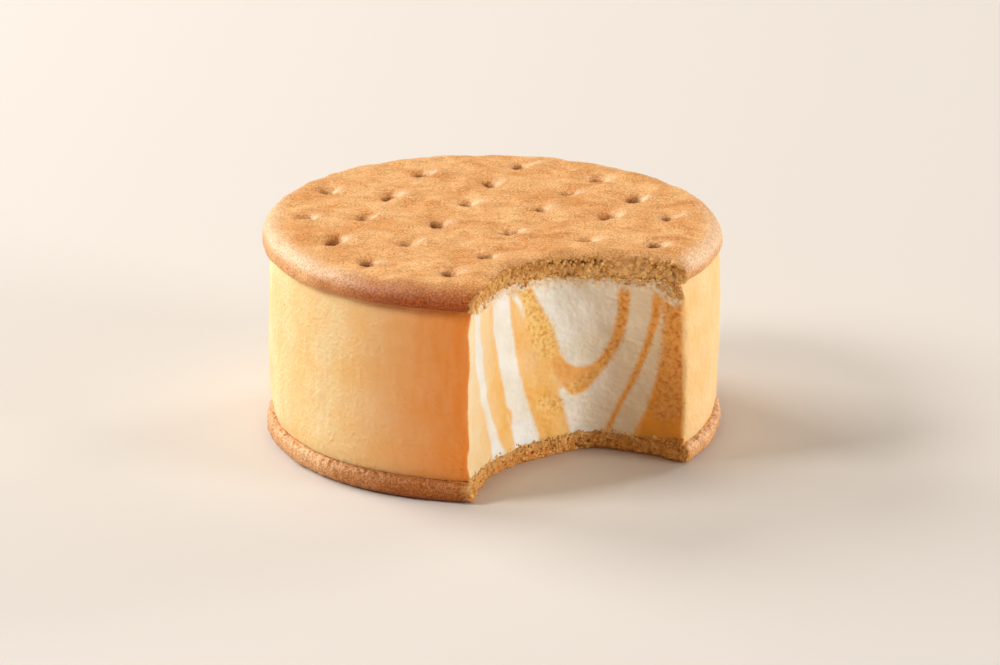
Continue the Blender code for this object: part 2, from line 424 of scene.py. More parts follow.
lid = {
    "segments": 180,
    "rings": (19, 6),  # above, below
    "voxel": 0.45,
    "finer": ((1.6, 2.7), (0.35, 1.5)),  # mm from the bite and from a hole, halved in two rounds
    "rimRound": 2.4,
    "underRound": 0.9,
    "dome": 0.1,
    "waves": (0.22, 13.0),  # these and those below: mm high, mm long
    "rimWaves": (0.28, 9.0),
    "rimStarts": (35.2, 36.8),  # mm from the axis
    "puffs": (0.75, 8.0),
    "wrinkles": (0.26, 3.0),
    "sand": (0.04, 0.9),
    "biteLeft": (-85.0, -30.0),  # degrees, from the left end of the bite to its middle
    "sag": (0.7, 2.6),  # how the skin rolls down at the bite: mm deep, mm wide
    "fringe": (0.65, 1.1),  # crumb hanging below the torn edge: mm deep, mm long
    "droop": 0.6,  # mm that the rim hangs lower at the left
    "crack": (2.7, 0.4, 0.4),  # where the skin has come away: mm above the underside, mm wide, mm deep
    "holeRows": (
        ((5.0, 32.0), (18.7, 24.8)),
        ((-12.7, 26.1), (-0.6, 22.1), (13.2, 16.4), (24.9, 13.3)),
        ((-29.4, 16.0), (-18.0, 13.4), (-4.8, 9.3), (8.2, 6.3), (20.3, 3.8), (30.8, 3.3)),
        ((-32.9, 0.5), (-22.3, 0.8), (-9.6, -1.9), (3.2, -7.0), (16.2, -10.7), (28.0, -12.0)),
        ((-27.1, -12.3), (-14.6, -13.8), (-1.3, -18.6)),
        ((-21.2, -23.4), (-7.3, -28.6)),
    ),
    "holeUneven": (0.2, 2.4),  # share of its size, mm long
    "prick": (1.8, 1.15, 2.4),  # the hole itself: mm deep, mm wide, how steep
    "saucer": (1.2, 2.05),  # the dough drawn down round each hole: mm deep, mm wide
    "mound": (0.3, 1.7, 3.1),  # dough pushed up beside it: mm high, mm wide, mm to the right
    "pit": (0.6, 1.8),  # mm from a hole's middle: where the painted shade is full, and where it ends
    "pale": (0.45, 1.3, 2.2),  # painted highlight beside each hole: how much, mm wide, mm to the right
    "roll": (0.9, 6.0, 0.2),  # the soft fall towards the rim: mm deep, mm wide, share of it at the back
    "front": (-12.0, 24.0),  # mm along Y, from the front of the sandwich to its back
    "rimBrown": (0.76, 0.22),  # how much painted shade darkens the rim at the front left, and how brown and shaded it is all round underneath
    "shoulder": (36.0, 38.4),  # mm from the axis, where the rim gets a painted highlight
    "pressed": (34.4, 37.6),  # mm from the axis, where it is smoother
}

# The torn crumb and the painted shade at the front of the rims, which the lid and the base share.
tornCrumb = {
    "broken": (0.75, 2.6),  # crags of the bitten face: mm deep, mm long
    "cutRows": 0.8,  # mm
    "behind": (0.3, 0.8),  # mm behind the bitten face, where crumb gives way to crust
    "grains": (0.3, 1.3),  # mm deep, mm wide
    "fineGrains": (0.1, 0.55),
    "level": 0.6,  # of a grain, from its middle to its border, that neither stands out nor back
    "pores": (0.35, 1.9),  # mm deep, mm apart
    "poreRange": (0.25, 0.6),
    "shades": (0.55, 0.35),  # how dark the painted shade is in a pore, and in a gap between grains
}
browning = {
    "middle": 6.0,  # degrees left of the front
    "range": (14.0, 52.0),  # degrees from there, from full painted shade to none
}


def toNearestHole(points, toRight=0.0):
    distance = np.full(len(points), 99.0)
    for x, y in (hole for row in lid["holeRows"] for hole in row):
        distance = np.minimum(distance, np.hypot(points[:, 0] - x - toRight, points[:, 1] - y))
    return distance


def crumbRelief(points, seed):  # mm that the torn crumb stands back, and how much painted shade it gets in pores and gaps
    deep, wide = tornCrumb["grains"]
    fineDeep, fineWide = tornCrumb["fineGrains"]
    poreDeep, poreWide = tornCrumb["pores"]
    poreShade, gapShade = tornCrumb["shades"]
    coarse = cells(points, wide, seed)
    fine = cells(points, fineWide, seed + 3.0)
    pores = smoothStep(wave(points, poreWide, seed + 5.0), *tornCrumb["poreRange"])
    back = deep * (coarse - tornCrumb["level"]) + fineDeep * (fine - tornCrumb["level"]) + poreDeep * pores
    hollow = np.clip(poreShade * pores + gapShade * smoothStep(coarse, 0.75, 1.0), 0.0, 1.0)
    return back, hollow


def bakedFront(points):  # 1 at the front left, where the rims get painted shade, and 0 far from it
    return 1.0 - smoothStep(np.abs(degreesToLeft(points) - browning["middle"]), *browning["range"])


def makeLid():
    low = sandwich["lidLow"]
    high = sandwich["lidTop"]
    radius = sandwich["lidRadius"]
    rimRound = lid["rimRound"]
    underRound = lid["underRound"]
    upper, lower = lid["rings"]
    edge = radius - rimRound
    profile = [(edge * ring / upper, high) for ring in range(upper)]
    profile += roundedCorner(edge, high - rimRound, rimRound, 90, 0, 6)
    profile += roundedCorner(radius - underRound, low + underRound, underRound, -5, -90, 3)
    profile += [(edge * ring / lower, low) for ring in range(lower - 1, -1, -1)]
    item = spinProfile("biscuitLid", profile, lid["segments"])

    points = readPoints(item)
    distance, away = outwards(points)
    crust = waves(points * (1.0, 1.0, 0.0), lid["waves"], 3.0) - lid["dome"] * (distance / radius) ** 3
    rimWave = waves(points, lid["rimWaves"], 7.0)
    points[:, 2] += crust * smoothStep(points[:, 2], low + underRound, high - 0.5 * rimRound)
    points += away * (rimWave * smoothStep(distance, *lid["rimStarts"]))[:, None]
    lean(points)
    movePoints(item, points)
    cutBite(item, low, high, tornCrumb["cutRows"], tornCrumb["broken"])
    remesh(item, lid["voxel"])
    relax(item, 2)
    for fromBite, fromHole in lid["finer"]:
        points = readPoints(item)
        _, _, depth = biteView(points, tornCrumb["broken"])
        onTop = points[:, 2] > 0.5 * (low + high)
        refine(item, (depth < fromBite) | (onTop & (toNearestHole(points) < fromHole)))

    points = readPoints(item)
    normals = readPoints(item, "vertex_normals", "vector")
    facingUp = normals[:, 2]
    angles, away, depth = biteView(points, tornCrumb["broken"])
    distance, _ = outwards(points)
    torn = (1.0 - smoothStep(depth, *tornCrumb["behind"])) * (1.0 - smoothStep(facingUp, 0.45, 0.8))
    crustShare = (1.0 - torn) * smoothStep(facingUp, -0.6, 0.1)
    nearTop = smoothStep(facingUp, 0.3, 0.8)
    topCrust = crustShare * nearTop

    puffs = waves(points * (0.8, 1.0, 0.0), lid["puffs"], 41.0)
    wrinkles = waves(points * (0.6, 1.0, 0.0), lid["wrinkles"], 43.0)
    sand = waves(points, lid["sand"], 47.0)
    hole = toNearestHole(points) * (1.0 + waves(points * (1.0, 1.0, 0.0), lid["holeUneven"], 31.0))
    prickDeep, prickWide, prickSteep = lid["prick"]
    saucerDeep, saucerWide = lid["saucer"]
    moundHigh, moundWide, toRight = lid["mound"]
    dimple = prickDeep * bell(hole, prickWide, prickSteep) + saucerDeep * bell(hole, saucerWide)
    dimple -= moundHigh * bell(toNearestHole(points, toRight), moundWide)
    inBite = smoothStep(angles, *lid["biteLeft"])
    sagDeep, sagWide = lid["sag"]
    sag = sagDeep * (0.25 + 0.75 * inBite) * (1.0 - smoothStep(depth, 0.0, sagWide)) ** 2
    back, hollow = crumbRelief(points, 21.0)
    underside = low + points[:, 0] * leanSlope
    crackHeight, crackWide, crackDeep = lid["crack"]
    crack = bell(points[:, 2] - underside - crackHeight, crackWide)
    crack *= smoothStep(wave(points, 3.5, 53.0), -0.35, 0.25) * smoothStep(angles, -60.0, -20.0)
    back += crackDeep * crack
    # painted shade along the crack as well
    hollow = np.clip(hollow + 0.7 * crack, 0.0, 1.0)

    rollDeep, rollWide, rollBehind = lid["roll"]
    roll = np.clip((distance - radius + rollWide) / rollWide, 0.0, 1.0) ** 2
    points += normals * (crustShare * (sand + nearTop * (1.0 - roll) * (puffs + wrinkles)))[:, None]
    points[:, 2] -= topCrust * (dimple + sag)
    points += away * (torn * back)[:, None]
    height = points[:, 2] - underside
    inFront = 1.0 - smoothStep(points[:, 1], *lid["front"])
    rollDeep = rollDeep * (rollBehind + (1.0 - rollBehind) * inFront)
    height = height * (1.0 - roll * rollDeep / (high - low))
    fringeDeep, fringeLong = lid["fringe"]
    hanging = fringeDeep * (0.4 + 0.6 * smoothStep(wave(points, fringeLong, 49.0), -0.2, 0.6))
    hanging = torn * hanging * (1.0 - smoothStep(height, 0.2, 1.2))
    droop = lid["droop"] * smoothStep(-points[:, 0], 12.0, 34.0) * (1.0 - torn)
    droop *= smoothStep(distance, 38.2, 39.4) * (1.0 - smoothStep(height, 0.4, 2.6))
    points[:, 2] = underside + height - hanging - droop
    movePoints(item, points)

    wet = height + waves(points, (0.5, 2.5), 51.0)
    browned = bakedFront(points)
    under = 1.0 - smoothStep(height, 0.8, 3.2)
    onRim = smoothStep(distance, (0.93 - 0.08 * browned) * radius, 0.995 * radius)
    brownFront, brownUnder = lid["rimBrown"]
    # Painted highlight: the rim's shoulder, more towards the front, and the dough to the right of each hole
    # are paler.
    shoulder = smoothStep(distance, *lid["shoulder"]) * smoothStep(height, 1.2, 2.4)
    shoulder *= (1.0 - browned) * (0.15 + 0.4 * inFront)
    pale, paleWide, paleRight = lid["pale"]
    pale *= topCrust * bell(toNearestHole(points, paleRight), paleWide)
    pinned = 0.4 * bell(toNearestHole(points, 0.5 * toRight), 2.2)
    keepAttributes(
        item, crumb=torn, hollow=hollow,
        soaked=(0.2 + 0.6 * inBite) * (1.0 - smoothStep(wet, 0.8, 2.0)),
        # painted shade down each docking hole
        pit=0.9 * topCrust * (1.0 - smoothStep(hole, *lid["pit"])),
        skin=0.8 * inBite * (1.0 - smoothStep(depth, 0.6, 4.5)),
        # browning of the rim, darkened by painted shade at the front left and underneath
        rim=onRim * (brownFront * browned + brownUnder * under),
        rimPale=np.maximum(shoulder, pale),
        pressed=np.maximum(smoothStep(distance, *lid["pressed"]), pinned))
    item.data.shade_smooth()
    return item, torn


# Base: the bottom biscuit, of which the rim and the bitten face show

base = {
    "segments": 180,
    "rings": (12, 8),  # above, below
    "voxel": 0.47,
    "finer": ((1.6, 1.9), (0.35, -9.0)),  # mm from the bite and from the rim, the second at the bite alone
    "lowRound": 1.7,
    "slope": 0.6,
    "shoulder": 1.6,
    "rimWaves": (0.28, 9.0),  # these and those below: mm high, mm long
    "edgeWaves": (0.35, 9.0),
    "edgeDrop": 0.1,
    "lumps": (0.14, 2.0),
    "grit": (0.1, 0.65),
    "edgeGrit": (0.3, 1.3),  # crumbs standing up along the upper edge
    "rimBrown": (0.75, 0.25),  # how much painted shade darkens the rim at the front left, and how brown and shaded it is all round underneath
    # share of painted highlight on the upper rim
    "rimPale": 0.15,
}


def makeBase():
    high = sandwich["baseTop"]
    radius = sandwich["baseRadius"]
    slope = base["slope"]
    lowRound = base["lowRound"]
    shoulder = radius - base["shoulder"]
    upper, lower = base["rings"]
    profile = [(shoulder * ring / upper, high) for ring in range(upper + 1)]
    profile += [(radius - 0.3 * base["shoulder"], high - 0.25 * slope), (radius, high - slope)]
    profile += roundedCorner(radius - lowRound, lowRound, lowRound, 0, -90, 5)
    profile += [(shoulder * ring / lower, 0.0) for ring in range(lower - 1, -1, -1)]
    item = spinProfile("biscuitBase", profile, base["segments"])

    points = readPoints(item)
    distance, away = outwards(points)
    onRim = (distance > radius - 0.8 * lowRound) & (points[:, 2] > 0.0)
    onEdge = (distance > radius - 0.5 * base["shoulder"]) & (points[:, 2] > 0.5 * high)
    rimWave = waves(points, base["rimWaves"], 17.0)
    edgeWave = waves(points, base["edgeWaves"], 19.0) - base["edgeDrop"]
    points += away * np.where(onRim, rimWave, 0.0)[:, None]
    points[:, 2] += np.where(onEdge, edgeWave, 0.0)
    movePoints(item, points)
    cutBite(item, 0.0, high, tornCrumb["cutRows"], tornCrumb["broken"])
    remesh(item, base["voxel"])
    relax(item, 2)
    for fromBite, fromRim in base["finer"]:
        points = readPoints(item)
        _, _, depth = biteView(points, tornCrumb["broken"])
        distance, _ = outwards(points)
        refine(item, (depth < fromBite) | ((distance > radius - fromRim) & (points[:, 2] > 0.3)))

    points = readPoints(item)
    normals = readPoints(item, "vertex_normals", "vector")
    angles, away, depth = biteView(points, tornCrumb["broken"])
    distance, _ = outwards(points)
    torn = 1.0 - smoothStep(depth, *tornCrumb["behind"])
    rimShare = smoothStep(distance, radius - 1.8, radius - 1.0) * (1.0 - torn)
    gritHigh, gritWide = base["grit"]
    grit = gritHigh * (0.55 - cells(points, gritWide, 63.0))
    edgeHigh, edgeLong = base["edgeGrit"]
    edgeGrit = edgeHigh * smoothStep(wave(points, edgeLong, 67.0), -0.1, 0.5)
    edgeGrit *= smoothStep(points[:, 2], high - 1.2, high - 0.4)
    edgeGrit *= smoothStep(distance, radius - 1.6, radius - 0.9)
    back, hollow = crumbRelief(points, 27.0)
    points += normals * (rimShare * (waves(points, base["lumps"], 61.0) + grit))[:, None]
    points[:, 2] += (1.0 - torn) * edgeGrit
    points += away * (torn * back)[:, None]
    points[:, 2] = np.maximum(points[:, 2], 0.0)
    movePoints(item, points)

    wet = smoothStep(points[:, 2] + waves(points, (0.8, 3.0), 55.0), 1.8, 3.2)
    under = 1.0 - smoothStep(points[:, 2], 0.6, 3.4)
    browned = bakedFront(points)
    brownFront, brownUnder = base["rimBrown"]
    keepAttributes(
        item, crumb=torn, hollow=hollow * torn,
        soaked=0.6 * wet * (1.0 - smoothStep(angles, 10.0, 30.0)),
        skin=0.6 * (1.0 - smoothStep(depth, 0.6, 2.5)),
        # browning of the rim, darkened by painted shade at the front left and underneath
        rim=rimShare * (brownFront * browned + brownUnder * under),
        # painted highlight on the upper rim, away from the front
        rimPale=base["rimPale"] * rimShare * (1.0 - browned) * (1.0 - under),
        pressed=rimShare)
    item.data.shade_smooth()
    return item, torn


# Ice cream: a thick disc with a swirl that shows where it was bitten

cream = {
    "segments": 360,
    "rings": (0.0, 0.3, 0.6, 0.8, 0.9),  # shares of the radius, above and below
    "rows": 60,
    "cutRows": 0.5,  # mm
    "broken": (0.35, 7.0),
    "edge": 3.6,
    "pinch": 0.9,  # mm that the disc draws in at its upper edge
    "lowPinch": 0.6,
    "bulge": 0.35,
    "leanOut": 0.45,
    "waves": (0.22, 17.0),  # mm high, mm long
    "streaks": (0.07, 1.7),
    "dents": (0.06, 5.0),
    "touch": 0.25,  # mm that the disc swells towards each biscuit, to touch it
    "corner": 1.0,  # mm, how round the edges between the bite and the wall are
    "bitten": ((0.1, 2.4), (0.06, 1.1), (0.2, 0.75)),  # relief of the face: ripples, fine ones, grains
    "stain": 1.8,  # mm below the lid that crumb and moisture reach
    "stainEdge": ((1.1, 3.5), (0.5, 1.2)),  # how uneven that is
    "stainRight": 2.2,  # mm more at the right end of the bite
}

# The swirl on the bitten face. Each line is (angle, height, half width), and
# each patch an outline of (angle, height); angles as for the bite, sizes in mm.
swirl = {
    "creamLines": (
        ((-80, 35, 0.2), (-80.9, 29.8, 1.2), (-78.6, 24, 1.5), (-74.5, 18, 1.25), (-68.3, 13, 1.1),
         (-60.9, 8, 1.4), (-55, 3.4, 1.9)),
        ((-54.6, 35, 2.7), (-52, 27, 2.8), (-48.5, 22, 2.55), (-44.5, 17, 2.3), (-41, 12, 2.5),
         (-36.8, 8, 2.55), (-33, 3.2, 2.8)),
        ((-41.7, 31.6, 0.5), (-37.8, 29.9, 0.5), (-35.1, 27.7, 0.2)),
        ((37.5, 33.5, 0.3), (36.7, 27.5, 0.95), (35, 24, 1.25), (31.5, 20, 1.5), (27.6, 16, 1.65),
         (23, 12, 1.95), (17.4, 8, 1.95), (12, 3.4, 1.7)),
    ),
    "creamPatches": (
        ((-36, 35.5), (-32.3, 33.1), (-26.1, 28.8), (-20.1, 24.2), (-15.4, 20), (-12.5, 18.1), (-8.9, 17.1),
         (-4.6, 16.8), (-0.3, 17.3), (5.7, 19.3), (10.4, 22.3), (13.1, 25.6), (14.4, 29.1), (15.4, 33.2),
         (15.8, 36)),
        ((21.5, 36), (20.5, 33.2), (19.1, 29.5), (17.3, 25.9), (13.6, 22.1), (8.3, 18.4), (2.2, 15),
         (-2.7, 12.2), (-6.1, 11.5), (-9.5, 11.7), (-13.2, 13.2), (-15.9, 12.3), (-12.9, 8.9), (-9, 4),
         (-7.8, 2), (3.5, 2), (6, 5.1), (10.3, 8.8), (15, 12.6), (19.8, 16.3), (23.7, 19.6), (27.6, 23.7),
         (30.3, 27.9), (31.5, 31.6), (32, 36)),
    ),
    "tongues": (
        ((-53.2, 12.6, 0.3), (-48.9, 11.8, 0.6), (-45.6, 10.5, 0.6), (-45.2, 8.1, 0.3)),
    ),
    "pureeLines": (
        ((18.2, 35, 0.9), (16.7, 29.3, 0.85), (15.2, 25.7, 0.8), (12, 22.2, 0.7), (7, 18.8, 0.6),
         (1, 15.5, 0.5), (-4, 12.8, 0.45), (-9.5, 12.4, 0.4), (-13, 13.6, 0.2)),
        ((33.8, 35, 0.55), (33.6, 31.5, 0.5), (32.2, 27.9, 0.4), (29.6, 24.1, 0.3), (26, 20.3, 0.25),
         (22, 16.8, 0.2), (17.3, 13, 0.2), (12.5, 9.5, 0.15), (7.6, 5.1, 0.1)),
        ((46, 37, 3.2), (45.5, 31, 3.2), (45, 24, 3.4), (44, 17, 4.2), (41, 10, 5.2), (36, 3, 5.5)),
    ),
    "fleckLines": (
        ((44, 36, 3.4), (43.5, 31, 3.2), (43, 24, 3.2), (41.5, 17, 3.4), (38.5, 12, 3.0), (33, 9.5, 2.0)),
        ((-36.5, 34, 0.9), (-31.5, 28.5, 1.6), (-26.5, 24.5, 2.4), (-22.5, 21, 2.0)),
        ((-24, 10.8, 1.3), (-17, 10, 1.3)),
        ((18.2, 35, 0.9), (16.7, 29.3, 0.9), (12, 22.2, 0.9), (1, 15.5, 0.8), (-9.5, 12.4, 0.8)),
        ((33.8, 35, 0.6), (32.2, 27.9, 0.5), (26, 20.3, 0.3), (17.3, 13, 0.2)),
    ),
    "peachLines": (
        ((-17.5, 17.8, 1.1), (-12, 15.9, 1.6), (-5, 14.7, 1.3), (2, 16.6, 0.9), (9, 20.4, 0.5)),
    ),
}


def throughPoints(knots, steps=10):  # a denser smooth line through a few places
    knots = np.array(knots, float)
    knots[:, 0] *= bite["mmPerDegree"]
    places = np.arange(len(knots))
    at = np.linspace(0, len(knots) - 1, steps * (len(knots) - 1) + 1)
    return np.column_stack([smoothThrough(places, knots[:, column], at) for column in range(knots.shape[1])])


def toSegments(places, line):  # for each place, its nearest distance to the line, and where on the line
    best = np.full(len(places), 99.0)
    where = np.zeros(len(places))
    for index, (start, end) in enumerate(zip(line[:-1, :2], line[1:, :2])):
        along = end - start
        share = np.clip((places - start) @ along / max(along @ along, 1e-9), 0.0, 1.0)
        distance = np.hypot(*(places - start - share[:, None] * along).T)
        closer = distance < best
        best = np.where(closer, distance, best)
        where = np.where(closer, index + share, where)
    return best, where


def insideLine(places, knots):  # mm inside a line's width, negative outside
    line = throughPoints(knots)
    distance, where = toSegments(places, line)
    return np.interp(where, np.arange(len(line)), line[:, 2]) - distance


def insidePatch(places, knots):  # mm inside a closed outline, negative outside
    line = throughPoints(knots)
    line = np.vstack((line, line[:1]))
    distance, _ = toSegments(places, line)
    inside = np.zeros(len(places), bool)
    for start, end in zip(line[:-1], line[1:]):
        spans = (start[1] > places[:, 1]) != (end[1] > places[:, 1])
        slope = (end[0] - start[0]) / (end[1] - start[1] if end[1] != start[1] else 1e-9)
        inside ^= spans & (places[:, 0] < start[0] + slope * (places[:, 1] - start[1]))
    return np.where(inside, distance, -distance)


def makeIceCream():
    low = sandwich["creamLow"]
    high = sandwich["creamTop"]
    radius = sandwich["creamRadius"]
    profile = [(radius * share, high) for share in cream["rings"]]
    for row in range(cream["rows"] + 1):
        height = high - (high - low) * row / cream["rows"]
        nearEdge = max(0.0, 1.0 - min(height - low, high - height) / cream["edge"])
        pinch = cream["pinch"] if height > 0.5 * (low + high) else cream["lowPinch"]
        profile.append((radius - pinch * nearEdge ** 2, height))
    profile += [(radius * share, low) for share in reversed(cream["rings"])]
    item = spinProfile("iceCreamDisc", profile, cream["segments"])

    points = readPoints(item)
    distance, away = outwards(points)
    share = (points[:, 2] - low) / (high - low)
    swell = cream["bulge"] * np.sin(math.pi * share) + cream["leanOut"] * away[:, 0] * share
    swell += waves(points, cream["waves"], 11.0)
    swell += waves(points * (1.0, 1.0, 0.15), cream["streaks"], 71.0)
    swell += waves(points * (1.0, 1.0, 0.6), cream["dents"], 73.0)
    points += away * (swell * smoothStep(distance, 0.91 * radius, 0.96 * radius))[:, None]
    points[:, 2] += cream["touch"] * np.clip(2.0 * share - 1.0, -1.0, 1.0) ** 9
    lean(points)
    movePoints(item, points)
    cutBite(item, low, high, cream["cutRows"], cream["broken"])
    points = readPoints(item)
    _, _, depth = biteView(points, cream["broken"])
    refine(item, np.abs(depth) < 0.03)
    points = readPoints(item)
    _, _, depth = biteView(points, cream["broken"])
    distance, _ = outwards(points)
    refine(item, (depth < 1.8) & (distance > 0.93 * radius))

    # The edges between the bite and the wall are rounded: a point less than the
    # corner's size from both is drawn onto an arc between them.
    points = readPoints(item)
    angles, away, depth = biteView(points, cream["broken"])
    distance, outward = outwards(points)
    share = (points[:, 2] - low) / (high - low)
    wallRadius = radius + cream["bulge"] * np.sin(math.pi * np.clip(share, 0.0, 1.0))
    wallRadius += cream["leanOut"] * outward[:, 0] * share
    size = cream["corner"] * (1.0 + waves(points, (0.35, 5.0), 89.0))
    fromFace = np.clip(size - depth, 0.0, size)
    fromWall = np.clip(size - (wallRadius - distance), 0.0, size)
    reach = np.hypot(fromFace, fromWall)
    excess = np.maximum(reach - size, 0.0) / np.maximum(reach, 0.001)
    points += (away * fromFace[:, None] - outward * fromWall[:, None]) * excess[:, None]

    bitten = 1.0 - smoothStep(depth, 0.05, 0.3)
    places = np.column_stack((angles * bite["mmPerDegree"], points[:, 2]))
    inside = {
        name: np.max([insideLine(places, knots) for knots in swirl[name]], axis=0)
        for name in ("creamLines", "pureeLines", "fleckLines", "peachLines", "tongues")}
    patches = np.max([insidePatch(places, knots) for knots in swirl["creamPatches"]], axis=0)
    inside["creamLines"] = np.minimum(np.maximum(inside["creamLines"], patches), -inside.pop("tongues"))
    belowLid = high + cream["touch"] - points[:, 2] + points[:, 0] * leanSlope
    wide, narrow = cream["stainEdge"]
    stained = cream["stain"] + waves(points, wide, 85.0) + waves(points, narrow, 86.0) - belowLid
    stained += cream["stainRight"] * smoothStep(angles, 27.0, 40.0)
    rough = np.maximum(0.5 * smoothStep(inside["fleckLines"], -0.4, 0.3), smoothStep(stained, -0.5, 0.5))
    ripples, fineRipples, (grainDeep, grainWide) = cream["bitten"]
    relief = waves(points * (1.0, 1.0, 1.6), ripples, 81.0) + waves(points, fineRipples, 82.0)
    relief += rough * grainDeep * (cells(points, grainWide, 83.0) - 0.5)
    points += away * (bitten * relief)[:, None]
    movePoints(item, points)

    # Painted highlight: the pale wall colour is carried over the bite's rounded right corner.
    atRight = smoothStep(angles, 25.0, 35.0) * (1.0 - smoothStep(wallRadius - distance, 0.3, 1.1))
    toLeft = degreesToLeft(points)
    # Painted shade: the wall is a deeper orange towards its front, and a little towards its right.
    deep = 1.0 - smoothStep(np.abs(toLeft - 2.0), -2.0, 50.0)
    inside = {name: np.clip(values, -3.0, 3.0) for name, values in inside.items()}
    keepAttributes(
        item, bitten=bitten * (1.0 - atRight), **inside, stained=stained,
        # Painted shade: the bitten face grows darker and warmer towards its right.
        warm=smoothStep(angles, -25.0, 30.0) * bitten,
        # the yellow is paler towards the left end of the bite
        milky=1.0 - smoothStep(angles, -80.0, -48.0),
        deep=np.maximum(deep, 0.16 * smoothStep(-toLeft, 30.0, 60.0)))
    item.data.shade_smooth()
    item.data.set_sharp_from_angle(angle=math.radians(38))
    crumbed = np.maximum(stained - 1.1, 0.4 - (points[:, 2] - low)) + waves(points, (0.6, 5.0), 87.0)
    return item, bitten * smoothStep(crumbed, -0.6, 0.6)


iceCreamLook = {
    "wallPale": "#F8D8A0",
    "wall": "#F6CA86",
    # painted shade: the deeper orange on the front of the wall
    "wallDeep": "#EA8722",
    "yellow": "#F5BC64",
    "yellowPale": "#F8E0B6",
    "yellowWarm": "#EEA854",  # painted shade on the yellow, towards the right of the bite
    "cream": "#F8F5EE",
    "creamDull": "#EEE6D4",
    # painted shade on the cream, towards the right of the bite
    "creamWarm": "#DDBE92",
    "peach": "#F2B263",
    "puree": "#E6962E",
    "flecksPale": "#FBD382",
    # painted shade on the pale flecks, towards the right of the bite
    "flecksWarm": "#E0903A",
    "flecks": "#D88E34",
    # painted shade on the flecks, towards the right of the bite
    "flecksDark": "#AE5A12",
    "fleckShare": 0.8,
    "grain": "#B06C28",
    "stain": "#EFD6B2",  # crumb and moisture under the lid
    "stainDark": "#D3A273",
    "roughness": (0.32, 0.62),
    "bump": 0.18,  # mm
}


